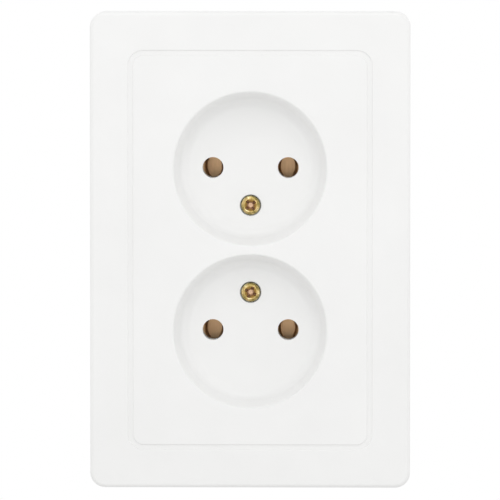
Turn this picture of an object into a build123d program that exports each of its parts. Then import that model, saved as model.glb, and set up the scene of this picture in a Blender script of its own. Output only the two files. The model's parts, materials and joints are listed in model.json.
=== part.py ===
"""Double wall socket: a one-piece front cover with two round wells, over a flush mechanism.

The frame has +Z up and +X to the right, and the wells open towards -Y. The plane y = 0 is the
wall surface, where the rim of the cover stands. Everything with y above 0 is inside the wall box.
Sketches lie on planes parallel to the wall and are extruded forwards, towards the reader.
"""

from build123d import *
import math
import os

# Plug pattern, shared by every piece that a plug pin passes or touches
pin_spacing = 19.0
socket_pitch = 41.0
pin_hole_radius = 2.65
screw_drop = 9.5

# Front cover
plate_width = 80.6
plate_height = 119.8
plate_projection = 11.0
plate_corner_radius = 3.8
plate_edge_round = 0.9
plate_wall = 2.0
face_thickness = 2.2
groove_inset = 10.2
groove_width = 1.2
groove_depth = 0.3
groove_corner_radius = 3.3
groove_lip_round = 0.24
well_rim_radius = 19.3
well_floor_radius = 17.4
well_depth = 7.5
well_floor_thickness = 2.0
well_floor_round = 2.8
well_rim_round = 0.5
well_wall = 1.8
rib_thickness = 1.4
rib_height = 4.2
screw_boss_radius = 3.9

# Support ring, a steel stamping that lies on the wall
ring_side_clearance = 2.8
ring_height = 76.0
ring_corner_radius = 8.0
ring_thickness = 1.0
ring_flange_height = 1.6
ring_flange_length = 46.0
ring_flange_round = 1.2
box_screw_pitch = 60.0
box_slot_radius = 2.0
box_slot_length = 6.4
corner_hole_pitch = 56.0
corner_hole_radius = 2.1
window_width = 32.0
window_height = 12.6
window_corner_radius = 3.0
collar_radius = 2.2
collar_height = 1.5

# Base, the moulded insulating body behind the ring
base_radius = 28.5
flange_thickness = 5.0
body_width = 32.8
base_depth = 22.0
body_edge_round = 1.2
body_back_chamfer = 0.8
pocket_clearance = 0.4
plate_clearance = 0.15
claw_notch_half_height = 6.8
barrier_height = 1.6
barrier_width = 2.4
boss_radius = 3.0
boss_depth = 11.0

# Pin guide plate, the insulating lid that holds the contacts in the base
guide_width = 29.0
guide_rim = 1.6
guide_thickness = 1.8
guide_pad_height = 1.3
guide_pad_wall = 2.3
guide_mouth_chamfer = 0.2

# Contact strips, one brass stamping for each pole. Plug pins lean in a little towards their
# tips, so the contacts stand slightly closer together than the pin holes.
contact_spacing = 18.6
strip_width = 8.0
strip_thickness = 0.8
strip_depth = 17.3
leaf_thickness = 0.55
leaf_cup_radius = 4.2
leaf_throat = 3.7
leaf_mouth_flare = 0.85
leaf_mouth_angle = 62.0
leaf_root_spread = 0.8
leaf_half_angle = 36.0
leaf_throat_depth = 4.6
leaf_mouth_gap = 0.4
tapping_radius = 2.9
tapping_height = 1.6

# Terminals, two on each pole, driven from the back
terminal_pitch = 13.0
terminal_screw_radius = 1.7
terminal_head_radius = 3.0
terminal_head_height = 2.2
terminal_screw_length = 6.4
clamp_width = 8.4
clamp_height = 7.4
clamp_thickness = 1.2
clamp_gap = 0.2
clamp_groove_radius = 0.45
bay_clearance = 0.9
bay_corner_radius = 1.0
clamp_corner_radius = 0.8
wire_groove_width = 2.8
wire_groove_depth = 3.2

# Spreading claws, which grip the inside of the wall box
claw_pivot_x = 20.0
claw_pivot_y = 3.4
claw_pin_radius = 1.0
claw_pin_head_radius = 1.5
claw_pin_head_height = 0.5
claw_arm = 4.6
claw_swing = 30.0
claw_inside_half_height = 3.65
claw_sheet = 1.1
claw_web_inset = 2.8
claw_reach = 17.6
claw_knuckle_radius = 1.2
claw_eye_radius = 2.0
claw_ear_radius = 1.9
claw_neck_width = 6.0
claw_web_start = 5.6
claw_head_width = 9.4
claw_head_length = 6.6
claw_tip_slope = 1.8
claw_crown_width = 7.0
claw_tooth_count = 3
claw_tooth_pitch = 1.7
claw_tooth_height = 0.8
claw_corner_round = 0.8
lug_thickness = 1.0
lug_half_width = 1.9
lug_margin = 1.2
lug_round_share = 0.6
side_gap = 0.15
nut_thickness = 2.0
nut_width = 5.6
nut_gap = 0.1
nut_chamfer = 0.5

# Screws
m3_radius = 1.5
running_clearance = 0.05
hole_clearance = 0.1
tip_clearance = 0.3
cover_screw_head_radius = 2.45
cover_screw_head_height = 1.9
cover_screw_sink = 1.2
cover_screw_length = 10.0
cover_head_clearance = 0.25
cover_screw_turns = {"upper": 40.0, "lower": 64.0}
claw_screw_head_radius = 2.5
claw_screw_head_height = 1.8
claw_screw_length = 10.0
base_screw_x = 20.8
base_screw_z = 14.6
base_screw_radius = 1.45
base_screw_head_radius = 2.6
base_screw_head_height = 1.2
base_screw_length = 9.5
recess_arm_width = 0.72
recess_radius_share = 0.62
recess_depth_share = 0.68
recess_draft = 16.0
recess_core_share = 0.62
screw_dome_share = 0.42
screw_tip_share = 0.3

# Worked out from the values above
pin_x = pin_spacing / 2
socket_z = socket_pitch / 2
cover_screw_z = socket_z - screw_drop
face_y = -plate_projection
well_floor_y = face_y + well_depth
well_back_y = well_floor_y + well_floor_thickness
ring_front_y = -ring_thickness
strip_front_y = strip_depth - strip_thickness
ring_width = plate_width - 2 * (plate_wall + ring_side_clearance)
pocket_width = strip_width + 2 * pocket_clearance
guide_pad_width = 2 * (pin_hole_radius + guide_pad_wall)
guide_radius = base_radius - guide_rim
leaf_offset = leaf_cup_radius - leaf_throat / 2
claw_screw_x = claw_pivot_x + claw_arm * math.cos(math.radians(claw_swing / 4))
claw_outside_half_height = claw_inside_half_height + claw_sheet
lug_inside = claw_outside_half_height + side_gap
lug_outside = lug_inside + lug_thickness
lug_length = claw_pivot_y + claw_pin_radius + lug_margin
knuckle_rise = claw_arm * math.sin(math.radians(claw_swing / 2))
nut_front_y = claw_pivot_y + knuckle_rise + claw_knuckle_radius + nut_gap
terminal_seat_y = strip_depth + clamp_gap + clamp_thickness + running_clearance
bay_width = clamp_width + 2 * bay_clearance
bay_height = terminal_pitch + clamp_height + 2 * bay_clearance
wire_x = (clamp_width / 2 + terminal_screw_radius + hole_clearance) / 2


def wall_plane(y):
    """The sketch plane parallel to the wall at depth y, seen from the front with +Z up."""
    return Plane.XZ.offset(-y)


def front_seat(x, y, z):
    """Where a screw that is driven from the front bears, with its own +Z towards the front."""
    return Plane(origin=(x, y, z), x_dir=(1, 0, 0), z_dir=(0, -1, 0))


def rear_seat(x, y, z):
    """Where a screw that is driven from the back bears, with its own +Z towards the back."""
    return Plane(origin=(x, y, z), x_dir=(1, 0, 0), z_dir=(0, 1, 0))


def cross_screw(shank_radius, length, head_radius, head_height, turn=0.0):
    """A pan-head screw that stands on z = 0 with a cross recess turned by turn degrees."""
    with BuildPart() as screw:
        Cylinder(head_radius, head_height, align=(Align.CENTER, Align.CENTER, Align.MIN))
        rim = screw.edges().filter_by(GeomType.CIRCLE).group_by(Axis.Z)[-1]
        fillet(rim, radius=head_height * screw_dome_share)
        Cylinder(shank_radius, length, align=(Align.CENTER, Align.CENTER, Align.MAX))
        tip = screw.edges().filter_by(GeomType.CIRCLE).group_by(Axis.Z)[0]
        chamfer(tip, length=shank_radius * screw_tip_share)
        recess_radius = head_radius * recess_radius_share
        with BuildSketch(Plane.XY.offset(head_height)):
            Rectangle(2 * recess_radius, recess_arm_width, rotation=turn)
            Rectangle(2 * recess_radius, recess_arm_width, rotation=turn + 90)
            Circle(recess_radius * recess_core_share)
        extrude(
            amount=-head_height * recess_depth_share,
            taper=recess_draft,
            mode=Mode.SUBTRACT,
        )
    return screw.part


def well_cone(front_radius, floor_radius, depth):
    """A cone for a well, from its mouth at the face to a flat end at the given depth."""
    loft_mouth = Plane.XZ.offset(plate_projection)
    loft_end = Plane.XZ.offset(plate_projection - depth)
    with BuildPart() as cone:
        for plane, radius in ((loft_mouth, front_radius), (loft_end, floor_radius)):
            with BuildSketch(plane):
                Circle(radius)
        loft()
    return cone.part


os.makedirs("parts", exist_ok=True)

def in_groove(point):
    """True where a point of the face lies between the two outlines of the groove."""
    inset = min(plate_width / 2 - abs(point.X), plate_height / 2 - abs(point.Z))
    return groove_outer - 0.01 < inset < groove_inner + groove_corner_radius


# Front cover: a tray with two cups, closed at the front and open towards the wall
groove_outer = groove_inset - groove_width / 2
groove_inner = groove_inset + groove_width / 2
cup_radius = well_floor_radius + well_wall
cup = well_cone(well_rim_radius + well_wall, cup_radius, well_depth + well_floor_thickness)
well = well_cone(well_rim_radius, well_floor_radius, well_depth)
inside_width = plate_width - 2 * plate_wall
inside_height = plate_height - 2 * plate_wall
well_spots = [(0, 0, socket_z), (0, 0, -socket_z)]

with BuildPart() as front_cover:
    with BuildSketch(wall_plane(0)):
        RectangleRounded(plate_width, plate_height, plate_corner_radius)
    extrude(amount=plate_projection)
    fillet(front_cover.faces().sort_by(Axis.Y)[0].edges(), radius=plate_edge_round)
    with BuildSketch(wall_plane(0)):
        RectangleRounded(inside_width, inside_height, plate_corner_radius - plate_wall / 2)
    extrude(amount=plate_projection - face_thickness, mode=Mode.SUBTRACT)

    # Ribs behind the face tie the cups to the side walls
    with BuildSketch(wall_plane(face_y + face_thickness + rib_height)):
        with Locations((0, socket_z), (0, -socket_z)):
            Rectangle(inside_width + plate_wall, rib_thickness)
        Rectangle(rib_thickness, inside_height + plate_wall)
    extrude(amount=rib_height + face_thickness / 2)

    with Locations(*well_spots):
        add(cup)
    cup_edges = front_cover.edges().filter_by(GeomType.CIRCLE)
    cup_backs = [
        e for e in cup_edges
        if abs(e.arc_center.Y - well_back_y) < 0.01 and abs(e.radius - cup_radius) < 0.01
    ]
    fillet(cup_backs, radius=well_floor_round)
    with Locations(*well_spots):
        add(well, mode=Mode.SUBTRACT)

    # The floor of each well turns up into its wall, and the mouth has a small round
    well_edges = front_cover.edges().filter_by(GeomType.CIRCLE)
    floor_edges = [
        e for e in well_edges
        if abs(e.arc_center.Y - well_floor_y) < 0.01 and abs(e.radius - well_floor_radius) < 0.01
    ]
    fillet(floor_edges, radius=well_floor_round)
    rim_edges = [
        e for e in front_cover.edges().filter_by(GeomType.CIRCLE)
        if abs(e.arc_center.Y - face_y) < 0.01 and abs(e.radius - well_rim_radius) < 0.01
    ]
    fillet(rim_edges, radius=well_rim_round)

    # The groove that sets the frame apart from the middle panel
    with BuildSketch(wall_plane(face_y + groove_depth)):
        RectangleRounded(
            plate_width - 2 * groove_outer,
            plate_height - 2 * groove_outer,
            groove_corner_radius + groove_width / 2,
        )
        RectangleRounded(
            plate_width - 2 * groove_inner,
            plate_height - 2 * groove_inner,
            groove_corner_radius - groove_width / 2,
            mode=Mode.SUBTRACT,
        )
    extrude(amount=groove_depth, mode=Mode.SUBTRACT)
    face_edges = front_cover.edges().filter_by(lambda e: abs(e.center().Y - face_y) < 0.001)
    groove_edges = face_edges.filter_by(lambda e: in_groove(e.center()))
    fillet(groove_edges, radius=groove_lip_round)

    # Pin holes, and a stepped hole with a boss behind it for each cover screw
    for row in (-1, 1):
        with BuildSketch(wall_plane(ring_front_y)):
            with Locations((0, row * cover_screw_z)):
                Circle(screw_boss_radius)
        extrude(amount=ring_front_y - well_back_y + well_floor_thickness / 2)
        with BuildSketch(wall_plane(ring_front_y)):
            with Locations((0, row * cover_screw_z)):
                Circle(m3_radius + hole_clearance)
        extrude(amount=plate_projection, mode=Mode.SUBTRACT)
        with BuildSketch(wall_plane(well_floor_y + cover_screw_sink)):
            with Locations((0, row * cover_screw_z)):
                Circle(cover_screw_head_radius + cover_head_clearance)
        extrude(amount=plate_projection, mode=Mode.SUBTRACT)
    with BuildSketch(wall_plane(0)):
        with GridLocations(pin_spacing, socket_pitch, 2, 2):
            Circle(pin_hole_radius)
    extrude(amount=plate_projection, mode=Mode.SUBTRACT)
front_cover.part.label = "front_cover"
export_step(front_cover.part, "parts/front_cover.step")

# Support ring: a flat stamping with bent flanges, bent claw lugs and two tapped collars
lug_centre_z = (lug_inside + lug_outside) / 2
with BuildPart() as support_ring:
    with BuildSketch(wall_plane(0)):
        RectangleRounded(ring_width, ring_height, ring_corner_radius)
        with GridLocations(0, socket_pitch, 1, 2):
            RectangleRounded(window_width, window_height, window_corner_radius, mode=Mode.SUBTRACT)
        with GridLocations(box_screw_pitch, 0, 2, 1):
            SlotOverall(box_slot_length, 2 * box_slot_radius, mode=Mode.SUBTRACT)
        with GridLocations(corner_hole_pitch, corner_hole_pitch, 2, 2):
            Circle(corner_hole_radius, mode=Mode.SUBTRACT)
        with GridLocations(2 * claw_screw_x, 0, 2, 1):
            Circle(m3_radius + hole_clearance, mode=Mode.SUBTRACT)
        with Locations((base_screw_x, base_screw_z), (-base_screw_x, -base_screw_z)):
            Circle(base_screw_radius + hole_clearance, mode=Mode.SUBTRACT)
        # The lugs are bent out of these four windows
        with GridLocations(2 * claw_pivot_x, 2 * (lug_outside + lug_length / 2), 2, 2):
            Rectangle(2 * lug_half_width, lug_length, mode=Mode.SUBTRACT)
    extrude(amount=ring_thickness)
    for flange_x in (-ring_width / 2, ring_width / 2 - ring_thickness):
        with BuildSketch(Plane.YZ.offset(flange_x)) as flange_side:
            Rectangle(
                ring_thickness + ring_flange_height,
                ring_flange_length,
                align=(Align.MAX, Align.CENTER),
            )
            fillet(flange_side.vertices().group_by(Axis.X)[0], radius=ring_flange_round)
        extrude(amount=ring_thickness)
    with BuildSketch(wall_plane(lug_length)):
        with GridLocations(2 * claw_pivot_x, 2 * lug_centre_z, 2, 2):
            Rectangle(2 * lug_half_width, lug_thickness)
    extrude(amount=lug_length + ring_thickness)
    lug_tips = support_ring.edges().filter_by(Axis.Z).group_by(Axis.Y)[-1]
    fillet(lug_tips, radius=lug_half_width * lug_round_share)
    with BuildSketch(Plane.XY.offset(-lug_outside)):
        with Locations((claw_pivot_x, claw_pivot_y), (-claw_pivot_x, claw_pivot_y)):
            Circle(claw_pin_radius)
    extrude(amount=2 * lug_outside, mode=Mode.SUBTRACT)
    with BuildSketch(wall_plane(collar_height)):
        with GridLocations(0, 2 * cover_screw_z, 1, 2):
            Circle(collar_radius)
    extrude(amount=collar_height + ring_thickness / 2)
    with BuildSketch(wall_plane(collar_height)):
        with GridLocations(0, 2 * cover_screw_z, 1, 2):
            Circle(m3_radius + running_clearance)
    extrude(amount=collar_height + ring_thickness, mode=Mode.SUBTRACT)
support_ring.part.label = "support_ring"
export_step(support_ring.part, "parts/support_ring.step")

# Base: a round flange behind the ring, with a deep body that holds the contacts
boss_spots = [(base_screw_x, base_screw_z), (-base_screw_x, -base_screw_z)]
with BuildPart() as base_housing:
    with BuildSketch(wall_plane(flange_thickness)):
        Circle(base_radius)
    extrude(amount=flange_thickness)
    with BuildSketch(wall_plane(base_depth)):
        Circle(base_radius)
        Rectangle(body_width, 2 * base_radius, mode=Mode.INTERSECT)
    extrude(amount=base_depth)
    body_corners = base_housing.edges().filter_by(Axis.Y).filter_by(
        lambda e: abs(abs(e.center().X) - body_width / 2) < 0.01 and e.center().Y > flange_thickness
    )
    fillet(body_corners, radius=body_edge_round)
    chamfer(base_housing.faces().sort_by(Axis.Y)[-1].edges(), length=body_back_chamfer)
    with BuildSketch(wall_plane(boss_depth)):
        with Locations(*boss_spots):
            Circle(boss_radius)
    extrude(amount=boss_depth)

    # A barrier between the two poles' terminals
    with BuildSketch(wall_plane(base_depth + barrier_height)):
        RectangleRounded(barrier_width, bay_height, barrier_width * 0.4)
    extrude(amount=barrier_height + body_back_chamfer)

    # Side notches, where the claws swing
    with BuildSketch(wall_plane(base_depth)):
        with GridLocations(body_width + base_radius, 0, 2, 1):
            Rectangle(base_radius, 2 * claw_notch_half_height)
    extrude(amount=base_depth, mode=Mode.SUBTRACT)

    # Seat of the guide plate, contact pockets, and terminal bays that open at the back
    with BuildSketch(wall_plane(guide_thickness)):
        Circle(guide_radius + plate_clearance)
        Rectangle(guide_width + 2 * plate_clearance, 2 * base_radius, mode=Mode.INTERSECT)
    extrude(amount=guide_thickness, mode=Mode.SUBTRACT)
    with BuildSketch(wall_plane(strip_depth)):
        with GridLocations(pin_spacing, 0, 2, 1):
            SlotCenterToCenter(socket_pitch, pocket_width, rotation=90)
    extrude(amount=strip_depth, mode=Mode.SUBTRACT)
    with BuildSketch(wall_plane(base_depth)):
        with GridLocations(pin_spacing, 0, 2, 1):
            RectangleRounded(bay_width, bay_height, bay_corner_radius)
    extrude(amount=base_depth - strip_depth, mode=Mode.SUBTRACT)

    # Wire grooves from each bay out to the edge of the body
    with BuildSketch(wall_plane(base_depth)):
        with GridLocations(pin_spacing, 0, 2, 1):
            with GridLocations(2 * wire_x, 0, 2, 1):
                Rectangle(wire_groove_width, 2 * base_radius)
        Rectangle(body_width, bay_height - 2 * bay_corner_radius, mode=Mode.SUBTRACT)
    extrude(amount=wire_groove_depth, mode=Mode.SUBTRACT)

    # Blind holes for the cover screws' tips and for the two base screws
    with BuildSketch(wall_plane(cover_screw_length)):
        with GridLocations(0, 2 * cover_screw_z, 1, 2):
            Circle(m3_radius + tip_clearance)
    extrude(amount=cover_screw_length, mode=Mode.SUBTRACT)
    with BuildSketch(wall_plane(base_screw_length)):
        with Locations(*boss_spots):
            Circle(base_screw_radius + running_clearance)
    extrude(amount=base_screw_length, mode=Mode.SUBTRACT)
base_housing.part.label = "base_housing"
export_step(base_housing.part, "parts/base_housing.step")

# Pin guide plate: its two raised pads stand in the ring's windows
with BuildPart() as pin_guide_plate:
    with BuildSketch(wall_plane(guide_thickness)):
        Circle(guide_radius)
        Rectangle(guide_width, 2 * base_radius, mode=Mode.INTERSECT)
    extrude(amount=guide_thickness)
    with BuildSketch(wall_plane(0)):
        with GridLocations(0, socket_pitch, 1, 2):
            SlotCenterToCenter(pin_spacing, guide_pad_width)
    extrude(amount=guide_pad_height)
    with BuildSketch(wall_plane(guide_thickness)):
        with GridLocations(pin_spacing, socket_pitch, 2, 2):
            Circle(pin_hole_radius)
        with GridLocations(0, 2 * cover_screw_z, 1, 2):
            Circle(collar_radius + plate_clearance)
    extrude(amount=guide_thickness + guide_pad_height, mode=Mode.SUBTRACT)
    mouths = pin_guide_plate.edges().filter_by(GeomType.CIRCLE).group_by(Axis.Y)[0]
    pin_mouths = mouths.filter_by(lambda e: abs(e.radius - pin_hole_radius) < 0.01)
    chamfer(pin_mouths, length=guide_mouth_chamfer)
pin_guide_plate.part.label = "pin_guide_plate"
export_step(pin_guide_plate.part, "parts/pin_guide_plate.step")


def leaf(centre_x, centre_z, side):
    """One cupped spring leaf of a contact, on the given side (-1 or 1) of the pin's axis."""
    axis_x = centre_x - side * leaf_offset
    axis = Axis((axis_x, 0, centre_z), (0, 1, 0))
    start = Vector(side, 0, 0).rotate(Axis.Y, -leaf_half_angle)
    plane = Plane(origin=(axis_x, 0, centre_z), x_dir=start, z_dir=start.cross(Vector(0, 1, 0)))
    mouth_y = guide_thickness + leaf_mouth_gap
    curve = [
        (leaf_cup_radius + leaf_root_spread, strip_front_y + strip_thickness / 2),
        (leaf_cup_radius, leaf_throat_depth),
        (leaf_cup_radius + leaf_mouth_flare, mouth_y),
    ]
    root_tangent = (-leaf_root_spread, leaf_throat_depth - strip_front_y)
    mouth_tangent = (math.tan(math.radians(leaf_mouth_angle)), -1)
    tangents = [root_tangent, mouth_tangent]
    outer_curve = [(x + leaf_thickness, y) for x, y in curve]
    with BuildPart() as spring_leaf:
        with BuildSketch(plane):
            with BuildLine():
                Spline(*curve, tangents=tangents)
                Line(curve[-1], outer_curve[-1])
                Spline(*outer_curve, tangents=tangents)
                Line(outer_curve[0], curve[0])
            make_face()
        revolve(axis=axis, revolution_arc=2 * leaf_half_angle)
    return spring_leaf.part


# Contact strips: a bar at the bottom of the pocket, two pairs of leaves and two tapped collars
with BuildPart() as contact_strip_right:
    with BuildSketch(wall_plane(strip_depth)):
        with Locations((pin_x, 0)):
            SlotCenterToCenter(socket_pitch, strip_width, rotation=90)
    extrude(amount=strip_thickness)
    with BuildSketch(wall_plane(strip_front_y)):
        with Locations((pin_x, terminal_pitch / 2), (pin_x, -terminal_pitch / 2)):
            Circle(tapping_radius)
    extrude(amount=tapping_height)
    with BuildSketch(wall_plane(strip_depth)):
        with Locations((pin_x, terminal_pitch / 2), (pin_x, -terminal_pitch / 2)):
            Circle(terminal_screw_radius + running_clearance)
    extrude(amount=strip_thickness + tapping_height, mode=Mode.SUBTRACT)
    for leaf_z in (socket_z, -socket_z):
        for leaf_side in (-1, 1):
            add(leaf(contact_spacing / 2, leaf_z, leaf_side))
contact_strip_right.part.label = "contact_strip_right"
export_step(contact_strip_right.part, "parts/contact_strip_right.step")

with BuildPart() as contact_strip_left:
    mirror(contact_strip_right.part, about=Plane.YZ)
contact_strip_left.part.label = "contact_strip_left"
export_step(contact_strip_left.part, "parts/contact_strip_left.step")

# Terminal clamps: a grooved square washer under each terminal screw's head
with BuildPart() as clamp_form:
    Box(clamp_width, clamp_height, clamp_thickness, align=(Align.CENTER, Align.CENTER, Align.MAX))
    fillet(clamp_form.edges().filter_by(Axis.Z), radius=clamp_corner_radius)
    Hole(radius=terminal_screw_radius + hole_clearance)
    with BuildSketch(Plane.XZ.offset(-clamp_height / 2)):
        with Locations((wire_x, -clamp_thickness), (-wire_x, -clamp_thickness)):
            Circle(clamp_groove_radius)
    extrude(amount=clamp_height, mode=Mode.SUBTRACT)

terminal_screw_form = cross_screw(
    terminal_screw_radius, terminal_screw_length, terminal_head_radius, terminal_head_height, turn=20.0
)
for side, sign_x in (("left", -1), ("right", 1)):
    for row, sign_z in (("upper", 1), ("lower", -1)):
        x = sign_x * pin_x
        z = sign_z * terminal_pitch / 2
        with BuildPart() as terminal_screw:
            with Locations(rear_seat(x, terminal_seat_y, z)):
                add(terminal_screw_form)
        terminal_screw.part.label = f"terminal_screw_{row}_{side}"
        export_step(terminal_screw.part, f"parts/terminal_screw_{row}_{side}.step")
        with BuildPart() as terminal_clamp:
            with Locations(rear_seat(x, terminal_seat_y - running_clearance, z)):
                add(clamp_form.part)
        terminal_clamp.part.label = f"terminal_clamp_{row}_{side}"
        export_step(terminal_clamp.part, f"parts/terminal_clamp_{row}_{side}.step")

# Cover screws, sunk in the floor of each well
for row, sign_z in (("upper", 1), ("lower", -1)):
    form = cross_screw(
        m3_radius, cover_screw_length, cover_screw_head_radius, cover_screw_head_height,
        turn=cover_screw_turns[row],
    )
    with BuildPart() as cover_screw:
        with Locations(front_seat(0, well_floor_y + cover_screw_sink, sign_z * cover_screw_z)):
            add(form)
    cover_screw.part.label = f"cover_screw_{row}"
    export_step(cover_screw.part, f"parts/cover_screw_{row}.step")

# Base screws, which hold the ring on the base
base_screw_form = cross_screw(
    base_screw_radius, base_screw_length, base_screw_head_radius, base_screw_head_height, turn=15.0
)
for side, sign_x in (("left", -1), ("right", 1)):
    with BuildPart() as base_screw:
        with Locations(front_seat(sign_x * base_screw_x, ring_front_y, sign_x * base_screw_z)):
            add(base_screw_form)
    base_screw.part.label = f"base_screw_{side}"
    export_step(base_screw.part, f"parts/base_screw_{side}.step")

# Claws: two toothed cheeks on a web, swung out by a nut that bears on two inward knuckles
swing = math.radians(claw_swing / 2)
pivot = (claw_pivot_x, claw_pivot_y)
knuckle = (pivot[0] + claw_arm * math.cos(swing), pivot[1] + claw_arm * math.sin(swing))
web_x = pivot[0] - claw_web_inset
web_start_y = pivot[1] + claw_web_start
tip_y = pivot[1] + claw_reach
tooth_root_x = web_x + claw_head_width
teeth_start_y = tip_y - claw_tooth_count * claw_tooth_pitch

# The head widens from the neck and ends in teeth that point outwards, seen from above
claw_head = [
    (web_x, pivot[1]),
    (web_x + claw_neck_width, pivot[1]),
    (web_x + claw_neck_width, tip_y - claw_head_length),
    (tooth_root_x, teeth_start_y),
]
for tooth in range(claw_tooth_count):
    tooth_y = teeth_start_y + tooth * claw_tooth_pitch
    claw_head.append((tooth_root_x + claw_tooth_height, tooth_y + claw_tooth_pitch / 2))
    claw_head.append((tooth_root_x, tooth_y + claw_tooth_pitch))
claw_head += [(web_x + claw_crown_width, tip_y), (web_x, tip_y - claw_tip_slope)]

with BuildPart() as claw_right:
    pivot_plane = Plane.XY.offset(-claw_outside_half_height)
    with BuildSketch(pivot_plane):
        with Locations(pivot):
            Circle(claw_eye_radius)
        with Locations(knuckle):
            Circle(claw_ear_radius)
        make_hull()
        Polygon(*claw_head, align=None)
    extrude(amount=2 * claw_outside_half_height)
    back_corners = claw_right.edges().filter_by(Axis.Z).filter_by(
        lambda e: abs(e.center().X - web_x) < 0.01 and e.center().Y > web_start_y
    )
    fillet(back_corners, radius=claw_corner_round)
    # Everything between the cheeks but the web is cut away
    with BuildSketch(Plane.XY.offset(-claw_inside_half_height)):
        with Locations((web_x + claw_sheet, pivot[1])):
            Rectangle(3 * claw_arm, 2 * claw_reach, align=(Align.MIN, Align.MIN))
        with Locations((pivot[0] - claw_arm, web_start_y)):
            Rectangle(3 * claw_arm, 2 * claw_arm, align=(Align.MIN, Align.MAX))
    extrude(amount=2 * claw_inside_half_height, mode=Mode.SUBTRACT)
    # The knuckles stand in from the cheeks and leave room for the screw between them
    with BuildSketch(Plane.XY.offset(-claw_inside_half_height)):
        with Locations(knuckle):
            Circle(claw_knuckle_radius)
    extrude(amount=2 * claw_inside_half_height)
    with BuildSketch(Plane.XY.offset(-m3_radius - 2 * side_gap)):
        with Locations(knuckle):
            Circle(claw_knuckle_radius + side_gap)
    extrude(amount=2 * (m3_radius + 2 * side_gap), mode=Mode.SUBTRACT)
    with BuildSketch(pivot_plane):
        with Locations(pivot):
            Circle(claw_pin_radius + running_clearance)
    extrude(amount=2 * claw_outside_half_height, mode=Mode.SUBTRACT)
claw_right.part.label = "claw_right"
export_step(claw_right.part, "parts/claw_right.step")

with BuildPart() as claw_left:
    mirror(claw_right.part, about=Plane.YZ)
claw_left.part.label = "claw_left"
export_step(claw_left.part, "parts/claw_left.step")

with BuildPart() as claw_pin_right:
    with BuildSketch(Plane.XY.offset(-lug_outside)):
        with Locations(pivot):
            Circle(claw_pin_radius)
    extrude(amount=2 * lug_outside)
    for end_z in (lug_outside, -lug_outside - claw_pin_head_height):
        with BuildSketch(Plane.XY.offset(end_z)):
            with Locations(pivot):
                Circle(claw_pin_head_radius)
        extrude(amount=claw_pin_head_height)
    ends = claw_pin_right.edges().filter_by(GeomType.CIRCLE).group_by(Axis.Z)
    chamfer(ends[0] + ends[-1], length=claw_pin_head_height * 0.5)
claw_pin_right.part.label = "claw_pin_right"
export_step(claw_pin_right.part, "parts/claw_pin_right.step")

with BuildPart() as claw_pin_left:
    mirror(claw_pin_right.part, about=Plane.YZ)
claw_pin_left.part.label = "claw_pin_left"
export_step(claw_pin_left.part, "parts/claw_pin_left.step")

with BuildPart() as claw_nut_right:
    with BuildSketch(wall_plane(nut_front_y + nut_thickness)):
        with Locations((claw_screw_x, 0)):
            Rectangle(nut_width, 2 * (claw_inside_half_height - side_gap))
            Circle(m3_radius + running_clearance, mode=Mode.SUBTRACT)
    extrude(amount=nut_thickness)
    chamfer(claw_nut_right.edges().filter_by(Axis.Y), length=nut_chamfer)
claw_nut_right.part.label = "claw_nut_right"
export_step(claw_nut_right.part, "parts/claw_nut_right.step")

with BuildPart() as claw_nut_left:
    mirror(claw_nut_right.part, about=Plane.YZ)
claw_nut_left.part.label = "claw_nut_left"
export_step(claw_nut_left.part, "parts/claw_nut_left.step")

claw_screw_form = cross_screw(
    m3_radius, claw_screw_length, claw_screw_head_radius, claw_screw_head_height, turn=30.0
)
for side, sign_x in (("left", -1), ("right", 1)):
    with BuildPart() as claw_screw:
        with Locations(front_seat(sign_x * claw_screw_x, ring_front_y, 0)):
            add(claw_screw_form)
    claw_screw.part.label = f"claw_screw_{side}"
    export_step(claw_screw.part, f"parts/claw_screw_{side}.step")
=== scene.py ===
"""Looks of the double wall socket: materials, screw threads, camera, light and floor.

Lengths are written in millimetres and turned into metres by mm. The frame is the part's own:
+Z up, +X to the right, the wells open towards -Y, and y = 0 is the wall's surface.
"""

import json
import math

import bpy
from mathutils import Matrix, Vector

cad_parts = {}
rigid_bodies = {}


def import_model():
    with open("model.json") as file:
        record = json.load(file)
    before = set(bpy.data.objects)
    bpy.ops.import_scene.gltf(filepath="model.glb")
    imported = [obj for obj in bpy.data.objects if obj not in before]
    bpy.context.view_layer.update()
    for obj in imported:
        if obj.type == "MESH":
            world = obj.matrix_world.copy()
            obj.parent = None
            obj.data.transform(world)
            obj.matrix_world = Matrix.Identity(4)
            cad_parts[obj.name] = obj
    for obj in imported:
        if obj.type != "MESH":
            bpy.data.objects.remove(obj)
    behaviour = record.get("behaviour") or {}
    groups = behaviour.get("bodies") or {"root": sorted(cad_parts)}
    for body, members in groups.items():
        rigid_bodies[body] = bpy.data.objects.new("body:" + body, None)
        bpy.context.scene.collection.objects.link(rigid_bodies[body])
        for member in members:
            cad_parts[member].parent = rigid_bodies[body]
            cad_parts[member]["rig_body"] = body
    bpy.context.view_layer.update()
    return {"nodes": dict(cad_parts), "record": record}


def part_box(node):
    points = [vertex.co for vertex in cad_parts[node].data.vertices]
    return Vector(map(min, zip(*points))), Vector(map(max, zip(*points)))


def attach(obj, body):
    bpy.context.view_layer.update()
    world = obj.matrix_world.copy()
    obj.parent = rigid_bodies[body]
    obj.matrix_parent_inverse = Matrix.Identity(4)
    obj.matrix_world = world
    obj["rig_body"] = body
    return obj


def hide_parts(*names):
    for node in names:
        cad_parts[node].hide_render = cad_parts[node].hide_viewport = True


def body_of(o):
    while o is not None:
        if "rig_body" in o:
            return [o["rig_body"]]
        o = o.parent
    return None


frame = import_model()
nodes = frame["nodes"]

mm = 0.001

# Where the face is, as in the part's source
face_y = -11.0

# Cross recess of the screws, as in the part's source
recess_arm_width = 0.72
recess_radius_share = 0.62
recess_depth_share = 0.68
recess_draft = math.radians(16.0)
recess_core_share = 0.62
screw_dome_share = 0.42
screw_tip_share = 0.3

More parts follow.
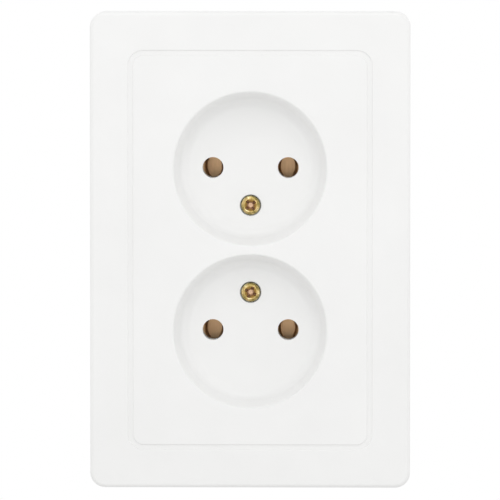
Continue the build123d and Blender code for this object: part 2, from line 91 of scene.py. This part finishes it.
# Screws: head height, shank radius, thread pitch, turn of the recess, and where the head points
front = -1
back = 1
screws = {
    "cover_screw_upper": (1.9, 1.5, 0.5, 40.0, front),
    "cover_screw_lower": (1.9, 1.5, 0.5, 64.0, front),
    "base_screw_left": (1.2, 1.45, 1.1, 15.0, front),
    "base_screw_right": (1.2, 1.45, 1.1, 15.0, front),
    "claw_screw_left": (1.8, 1.5, 0.5, 30.0, front),
    "claw_screw_right": (1.8, 1.5, 0.5, 30.0, front),
    "terminal_screw_upper_left": (2.2, 1.7, 0.6, 20.0, back),
    "terminal_screw_upper_right": (2.2, 1.7, 0.6, 20.0, back),
    "terminal_screw_lower_left": (2.2, 1.7, 0.6, 20.0, back),
    "terminal_screw_lower_right": (2.2, 1.7, 0.6, 20.0, back),
}
head_segments = 112
recess_rings = 34
recess_ring_reach = 1.04
dome_rings = 10
thread_segments = 28
thread_depth_share = 0.61
thread_crest_share = 0.18
sharp_angle = math.radians(38.0)

# Textures: scales in features to a metre, and how deep their bump is in mm
plastic_drift_scale = 45.0
plastic_gloss_scale = 160.0
metal_patch_scale = 220.0
metal_grain_mm = 0.004
plating_tint_scale = 650.0
plating_patch_scale = 1500.0
plating_patch_mm = 0.012
floor_drift_scale = 9.0
floor_grain_scale = 900.0
floor_grain_mm = 0.05

# Yellow plating: where its tones start and end, as shares of the head's radius and in mm from its top
# The dark rim is painted shade: the shade of the head's falling edge and of the gap round it, drawn into
# the colour.
edge_shade_start = 0.88
# The dark ring round the recess is painted shade of the recess walls.
ring_shade_end = 0.70
ring_shade_start = 0.54
# Inside the recess a lighter pinkish tone with less metal: partly the plating's own tint, partly painted
# reflection of the recess floor's bright centre.
recess_edge = 0.72
recess_within = 0.68
recess_lip = 0.10
recess_wall = 0.40
recess_bare = 0.4

# Camera and picture
picture_pixels = 500
pixels_per_mm = 3.975
camera_distance = 1900.0
camera_rise = math.radians(3.5)
camera_side = math.radians(1.2)
aim_height = 0.11
sensor_width = 36.0

# Lights: place and size in metres, and power in watts. All of them face the middle of the wall face
lights = {
    "top_light": ((0.03, -0.36, 0.40), 0.35, 0.42),
    "over_light": ((0.0, 0.12, 0.90), 0.5, 0.35),
    "front_light": ((0.0, -1.15, 0.0), 0.5, 0.95),
    "left_light": ((-0.9, -0.30, 0.05), 0.7, 0.75),
    "right_light": ((0.9, -0.30, 0.05), 0.7, 0.9),
}
world_strength = 0.75

# Floor, in metres
floor_half = 0.42
floor_z = -0.125


# Materials

def new_material(name):
    """A material with an empty tree but for its shader, which it returns with the tree."""
    material = bpy.data.materials.new(name)
    material.use_nodes = True
    tree = material.node_tree
    return material, tree, tree.nodes["Principled BSDF"]


def place_in(tree, scale=(1.0, 1.0, 1.0)):
    """Coordinates of the piece's own frame, stretched by scale."""
    source = tree.nodes.new("ShaderNodeTexCoord")
    mapping = tree.nodes.new("ShaderNodeMapping")
    mapping.inputs["Scale"].default_value = scale
    tree.links.new(source.outputs["Object"], mapping.inputs["Vector"])
    return mapping.outputs["Vector"]


def noise(tree, vector, scale, detail=3.0, roughness=0.5):
    """A noise texture, with scale in features to a metre."""
    node = tree.nodes.new("ShaderNodeTexNoise")
    node.inputs["Scale"].default_value = scale
    node.inputs["Detail"].default_value = detail
    node.inputs["Roughness"].default_value = roughness
    tree.links.new(vector, node.inputs["Vector"])
    return node.outputs["Fac"]


def ramp(tree, value, stops):
    """A colour ramp through the given (position, colour) stops."""
    node = tree.nodes.new("ShaderNodeValToRGB")
    elements = node.color_ramp.elements
    while len(elements) < len(stops):
        elements.new(0.5)
    for element, (position, colour) in zip(elements, stops):
        element.position = position
        element.color = (*colour, 1.0)
    tree.links.new(value, node.inputs["Fac"])
    return node.outputs["Color"]


def stretch(tree, value, start, end, low=0.0, high=1.0):
    """The value's range from start to end, mapped to low to high and held there beyond it."""
    node = tree.nodes.new("ShaderNodeMapRange")
    node.inputs["From Min"].default_value = start
    node.inputs["From Max"].default_value = end
    node.inputs["To Min"].default_value = low
    node.inputs["To Max"].default_value = high
    tree.links.new(value, node.inputs["Value"])
    return node.outputs["Result"]


def spread(tree, value, low, high):
    """The usual range of a noise, from low to high."""
    return stretch(tree, value, 0.3, 0.7, low, high)


def blend(tree, factor, colour, tone):
    """The colour, which turns into the fixed tone as factor goes from 0 to 1."""
    node = tree.nodes.new("ShaderNodeMix")
    node.data_type = "RGBA"
    node.inputs["B"].default_value = (*tone, 1.0)
    tree.links.new(factor, node.inputs["Factor"])
    tree.links.new(colour, node.inputs["A"])
    return node.outputs["Result"]


def bump(tree, shader, height, distance_mm):
    """Bump from a height between 0 and 1, which is distance_mm deep."""
    node = tree.nodes.new("ShaderNodeBump")
    node.inputs["Distance"].default_value = distance_mm * mm
    tree.links.new(height, node.inputs["Height"])
    tree.links.new(node.outputs["Normal"], shader.inputs["Normal"])


def plastic(name, colour, other_colour, gloss_low, gloss_high, grain_per_mm, grain_mm):
    """Moulded plastic: a faint drift of colour, a fine grain and an uneven gloss."""
    material, tree, shader = new_material(name)
    place = place_in(tree)
    drift = noise(tree, place, plastic_drift_scale, detail=2.0)
    tone = ramp(tree, drift, [(0.35, colour), (0.65, other_colour)])
    tree.links.new(tone, shader.inputs["Base Color"])
    patches = noise(tree, place, plastic_gloss_scale, detail=4.0)
    tree.links.new(spread(tree, patches, gloss_low, gloss_high), shader.inputs["Roughness"])
    grain = noise(tree, place, grain_per_mm / mm, detail=2.0)
    bump(tree, shader, grain, grain_mm)
    return material


def metal(name, dark, light, rough_low, rough_high, brush=(1.0, 1.0, 1.0), streaks_per_mm=1.2, bare=1.0):
    """Rolled or turned metal: streaks along the brush direction, in colour, gloss and height.

    The share bare is clean metal, and the rest has a dull skin.
    """
    material, tree, shader = new_material(name)
    shader.inputs["Metallic"].default_value = bare
    place = place_in(tree, brush)
    streaks = noise(tree, place, streaks_per_mm / mm, detail=5.0, roughness=0.6)
    patches = noise(tree, place_in(tree), metal_patch_scale, detail=3.0)
    mix = tree.nodes.new("ShaderNodeMix")
    mix.inputs["Factor"].default_value = 0.5
    tree.links.new(streaks, mix.inputs["A"])
    tree.links.new(patches, mix.inputs["B"])
    tone = mix.outputs["Result"]
    tree.links.new(ramp(tree, tone, [(0.35, dark), (0.65, light)]), shader.inputs["Base Color"])
    tree.links.new(spread(tree, tone, rough_low, rough_high), shader.inputs["Roughness"])
    bump(tree, shader, streaks, metal_grain_mm)
    return material


cover_white = plastic(
    "cover_white",
    (0.90, 0.90, 0.893),
    (0.915, 0.915, 0.908),
    0.30,
    0.38,
    grain_per_mm=2.4,
    grain_mm=0.002,
)
housing_ivory = plastic(
    "housing_ivory",
    (0.74, 0.71, 0.62),
    (0.80, 0.775, 0.69),
    0.46,
    0.60,
    grain_per_mm=1.8,
    grain_mm=0.012,
)
guide_white = plastic(
    "guide_white",
    (0.82, 0.82, 0.79),
    (0.87, 0.87, 0.845),
    0.42,
    0.55,
    grain_per_mm=2.0,
    grain_mm=0.008,
)
zinc_steel = metal(
    "zinc_steel",
    (0.50, 0.51, 0.52),
    (0.72, 0.72, 0.71),
    0.26,
    0.44,
    brush=(0.08, 1.0, 1.0),
    streaks_per_mm=1.6,
)
screw_steel = metal(
    "screw_steel",
    (0.46, 0.47, 0.48),
    (0.70, 0.70, 0.69),
    0.22,
    0.36,
    streaks_per_mm=2.5,
)
contact_brass = metal(
    "contact_brass",
    (0.66, 0.44, 0.25),
    (0.86, 0.60, 0.36),
    0.33,
    0.42,
    brush=(1.0, 1.0, 0.10),
    bare=0.93,
)


def passivated(
    name,
    stops,
    rough_low,
    rough_high,
    head_radius,
    head_height,
    edge_shade_tone,
    ring_shade_tone,
    recess_tint_and_reflection,
):
    """Yellow zinc plating: shifting tints; painted shade as a darker rim at the head's edge and a dark
    ring round the recess; in the recess a duller skin with a lighter tint that is partly painted
    reflection.
    """
    material, tree, shader = new_material(name)
    place = place_in(tree)
    tints = noise(tree, place, plating_tint_scale, detail=3.0, roughness=0.6)
    colour = ramp(tree, tints, stops)
    patches = noise(tree, place, plating_patch_scale, detail=3.0)
    tree.links.new(spread(tree, patches, rough_low, rough_high), shader.inputs["Roughness"])
    bump(tree, shader, patches, plating_patch_mm)

    # How far out a point is from the screw's own axis, which is its z
    flat = tree.nodes.new("ShaderNodeVectorMath")
    flat.operation = "MULTIPLY"
    flat.inputs[1].default_value = (1.0, 1.0, 0.0)
    tree.links.new(place, flat.inputs[0])
    reach = tree.nodes.new("ShaderNodeVectorMath")
    reach.operation = "LENGTH"
    tree.links.new(flat.outputs["Vector"], reach.inputs[0])
    out = reach.outputs["Value"]
    radius = head_radius * mm
    # Painted shade: darker towards the head's edge.
    edge_shade = stretch(tree, out, radius * edge_shade_start, radius)
    colour = blend(tree, edge_shade, colour, edge_shade_tone)
    # Painted shade: a dark ring round the recess.
    ring_shade = stretch(tree, out, radius * ring_shade_end, radius * ring_shade_start)
    colour = blend(tree, ring_shade, colour, ring_shade_tone)

    # The recess is what lies inside its radius and below the head's top
    height = tree.nodes.new("ShaderNodeSeparateXYZ")
    tree.links.new(place, height.inputs["Vector"])
    lip = (head_height - recess_lip) * mm
    wall = (head_height - recess_wall) * mm
    below = stretch(tree, height.outputs["Z"], lip, wall)
    within = stretch(tree, out, radius * recess_edge, radius * recess_within)
    inside = tree.nodes.new("ShaderNodeMath")
    inside.operation = "MULTIPLY"
    tree.links.new(below, inside.inputs[0])
    tree.links.new(within, inside.inputs[1])
    # Partly painted reflection: the recess's lighter pinkish tone.
    tree.links.new(blend(tree, inside.outputs[0], colour, recess_tint_and_reflection), shader.inputs["Base Color"])
    bare = stretch(tree, inside.outputs[0], 0.0, 1.0, 1.0, recess_bare)
    tree.links.new(bare, shader.inputs["Metallic"])
    return material


plating_tints = [
    (0.34, (0.21, 0.16, 0.045)),
    (0.46, (0.43, 0.33, 0.12)),
    (0.55, (0.62, 0.44, 0.20)),
    (0.66, (0.98, 0.92, 0.50)),
]
yellow_passivated = passivated(
    "yellow_passivated",
    plating_tints,
    0.20,
    0.34,
    head_radius=2.45,
    head_height=1.9,
    # The rim and ring tones are painted shade; the recess tone is partly painted reflection.
    edge_shade_tone=(0.31, 0.28, 0.13),
    ring_shade_tone=(0.17, 0.098, 0.028),
    recess_tint_and_reflection=(0.60, 0.40, 0.255),
)

finishes = {
    "cover_white": cover_white,
    "housing_ivory": housing_ivory,
    "guide_white": guide_white,
    "zinc_steel": zinc_steel,
    "screw_steel": screw_steel,
    "contact_brass": contact_brass,
    "yellow_passivated": yellow_passivated,
}

for subpart in frame["record"]["subparts"]:
    node_object = nodes[subpart["node"]]
    for slot in node_object.material_slots:
        slot.material = finishes[subpart["material_slot"]]


# Screws, with their recess and thread

def recess_depth(x, y, head_radius, head_height):
    """How far the cross recess lies below the head's top at (x, y), with its arms along x and y."""
    arm = head_radius * recess_radius_share
    half_width = recess_arm_width / 2
    inside = max(
        min(half_width - abs(y), arm - abs(x)),
        min(half_width - abs(x), arm - abs(y)),
        arm * recess_core_share - math.hypot(x, y),
    )
    return min(max(inside, 0.0) / math.tan(recess_draft), head_height * recess_depth_share)


def head_rings(head_radius, head_height):
    """Radii of the rings that a head is drawn with, close together where the recess is."""
    dome = head_height * screw_dome_share
    arm = head_radius * recess_radius_share
    rings = [arm * recess_ring_reach * step / recess_rings for step in range(1, recess_rings + 1)]
    rings.append((rings[-1] + head_radius - dome) / 2)
    angles = [math.radians(90.0 * step / (dome_rings - 1)) for step in range(dome_rings)]
    rings += [head_radius - dome + dome * math.sin(angle) for angle in angles]
    return rings


def screw_faces(head_radius, head_height, shank_radius, length, pitch):
    """Corners and faces of a screw that stands on z = 0, with its head above and its thread below."""
    corners = []
    faces = []
    dome = head_height * screw_dome_share

    # Head: rings from the middle outwards, then down the side and in to the shank
    rows = []
    for radius in head_rings(head_radius, head_height):
        over = max(radius - (head_radius - dome), 0.0)
        top = head_height - dome + math.sqrt(max(dome * dome - over * over, 0.0))
        rows.append((radius, top, True))
    rows.append((head_radius, 0.0, False))
    rows.append((shank_radius, 0.0, False))
    corners.append((0.0, 0.0, head_height - recess_depth(0.0, 0.0, head_radius, head_height)))
    for radius, top, cut in rows:
        for segment in range(head_segments):
            angle = 2 * math.pi * segment / head_segments
            x = radius * math.cos(angle)
            y = radius * math.sin(angle)
            depth = recess_depth(x, y, head_radius, head_height) if cut else 0.0
            corners.append((x, y, top - depth))
    for segment in range(head_segments):
        after = (segment + 1) % head_segments
        faces.append((0, 1 + segment, 1 + after))
        for row in range(len(rows) - 1):
            inner = 1 + row * head_segments
            outer = inner + head_segments
            faces.append((inner + segment, outer + segment, outer + after, inner + after))

    # Thread: four lines to a pitch, which climb by one pitch in a turn
    first = len(corners)
    root = shank_radius - thread_depth_share * pitch
    crest = thread_crest_share * pitch
    lines = [(0.0, root), (crest, root), (pitch / 2, shank_radius), (pitch / 2 + crest, shank_radius)]
    turns = math.ceil(length / pitch) + 2
    count = 4 * turns
    tip = shank_radius * screw_tip_share
    for segment in range(thread_segments):
        angle = 2 * math.pi * segment / thread_segments
        for line in range(count):
            offset, radius = lines[line % 4]
            z = (1 - line // 4 + segment / thread_segments) * pitch - offset
            z = min(max(z, -length), 0.0)
            radius = min(radius, shank_radius - tip + z + length)
            corners.append((radius * math.cos(angle), radius * math.sin(angle), z))
    for segment in range(thread_segments):
        here = first + segment * count
        after = first + (segment + 1) % thread_segments * count
        shift = 4 if segment == thread_segments - 1 else 0
        for line in range(shift, count - 1):
            a = here + line
            b = after + line - shift
            faces.append((a, a + 1, b + 1, b))
    end = [first + segment * count + count - 1 for segment in range(thread_segments)]
    faces.append(tuple(end))
    return corners, faces


def make_screw(node, head_height, shank_radius, pitch, turn, direction):
    """A screw with recess and thread in the place of the CAD node."""
    low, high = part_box(node)
    head_radius = (high.x - low.x) / 2 / mm
    if direction == front:
        seat = low.y + head_height * mm
        length = (high.y - seat) / mm
    else:
        seat = high.y - head_height * mm
        length = (seat - low.y) / mm
    corners, faces = screw_faces(head_radius, head_height, shank_radius, length, pitch)
    mesh = bpy.data.meshes.new(node + "_threaded")
    mesh.from_pydata([(x * mm, y * mm, z * mm) for x, y, z in corners], [], faces)
    mesh.shade_smooth()
    mesh.set_sharp_from_angle(angle=sharp_angle)
    screw = bpy.data.objects.new(node + "_threaded", mesh)
    centre = Vector(((low.x + high.x) / 2, seat, (low.z + high.z) / 2))
    screw.matrix_world = (
        Matrix.Translation(centre)
        @ Matrix.Rotation(math.radians(-90.0 * direction), 4, "X")
        @ Matrix.Rotation(math.radians(turn), 4, "Z")
    )
    bpy.context.scene.collection.objects.link(screw)
    slot = next(sub["material_slot"] for sub in frame["record"]["subparts"] if sub["node"] == node)
    mesh.materials.append(finishes[slot])
    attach(screw, body_of(nodes[node])[0])
    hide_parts(node)


for node, sizes in screws.items():
    make_screw(node, *sizes)


# Camera, far in front of the face, a little above it and to its right

frame_width = picture_pixels / pixels_per_mm
camera_data = bpy.data.cameras.new("camera")
camera_data.sensor_width = sensor_width
camera_data.lens = sensor_width * camera_distance / frame_width
camera_data.clip_start = 0.01
camera_data.clip_end = 20.0
camera = bpy.data.objects.new("camera", camera_data)
camera_level = camera_distance * math.cos(camera_rise)
camera.location = (
    camera_level * math.sin(camera_side) * mm,
    (face_y - camera_level * math.cos(camera_side)) * mm,
    (camera_distance * math.sin(camera_rise) + aim_height) * mm,
)
camera.rotation_euler = (math.radians(90.0) - camera_rise, 0.0, camera_side)
bpy.context.scene.collection.objects.link(camera)
bpy.context.scene.camera = camera


bpy.context.scene.view_settings.view_transform = "Standard"


# Light

for name, (place, size, power) in lights.items():
    light_data = bpy.data.lights.new(name, "AREA")
    light_data.shape = "SQUARE"
    light_data.size = size
    light_data.energy = power
    light = bpy.data.objects.new(name, light_data)
    light.location = place
    light.rotation_euler = (-Vector(place)).to_track_quat("-Z", "Y").to_euler()
    bpy.context.scene.collection.objects.link(light)

world = bpy.data.worlds.new("world")
bpy.context.scene.world = world
world.use_nodes = True
world_tree = world.node_tree
background = world_tree.nodes["Background"]
background.inputs["Color"].default_value = (1.0, 1.0, 1.0, 1.0)
background.inputs["Strength"].default_value = world_strength
white = world_tree.nodes.new("ShaderNodeBackground")
white.inputs["Color"].default_value = (1.0, 1.0, 1.0, 1.0)
white.inputs["Strength"].default_value = 1.0
path = world_tree.nodes.new("ShaderNodeLightPath")
mixer = world_tree.nodes.new("ShaderNodeMixShader")
sees_white = path.outputs["Is Camera Ray"]
for ray in ("Is Glossy Ray", "Is Transmission Ray"):
    either = world_tree.nodes.new("ShaderNodeMath")
    either.operation = "MAXIMUM"
    world_tree.links.new(sees_white, either.inputs[0])
    world_tree.links.new(path.outputs[ray], either.inputs[1])
    sees_white = either.outputs[0]
world_tree.links.new(sees_white, mixer.inputs[0])
world_tree.links.new(background.outputs[0], mixer.inputs[1])
world_tree.links.new(white.outputs[0], mixer.inputs[2])
world_tree.links.new(mixer.outputs[0], world_tree.nodes["World Output"].inputs["Surface"])


# Floor: a pale sheet below the socket. It catches the shadow, and is out of the front view

floor_mesh = bpy.data.meshes.new("floor")
floor_corners = [
    (-floor_half, -floor_half, floor_z),
    (floor_half, -floor_half, floor_z),
    (floor_half, floor_half, floor_z),
    (-floor_half, floor_half, floor_z),
]
floor_mesh.from_pydata(floor_corners, [], [(0, 1, 2, 3)])
floor = bpy.data.objects.new("floor", floor_mesh)
bpy.context.scene.collection.objects.link(floor)
floor_material, floor_tree, floor_shader = new_material("floor_white")
floor_place = place_in(floor_tree)
floor_drift = noise(floor_tree, floor_place, floor_drift_scale)
floor_tone = ramp(floor_tree, floor_drift, [(0.3, (0.80, 0.80, 0.795)), (0.7, (0.83, 0.83, 0.825))])
floor_tree.links.new(floor_tone, floor_shader.inputs["Base Color"])
floor_tree.links.new(spread(floor_tree, floor_drift, 0.62, 0.74), floor_shader.inputs["Roughness"])
floor_grain = noise(floor_tree, floor_place, floor_grain_scale)
bump(floor_tree, floor_shader, floor_grain, floor_grain_mm)
floor.data.materials.append(floor_material)
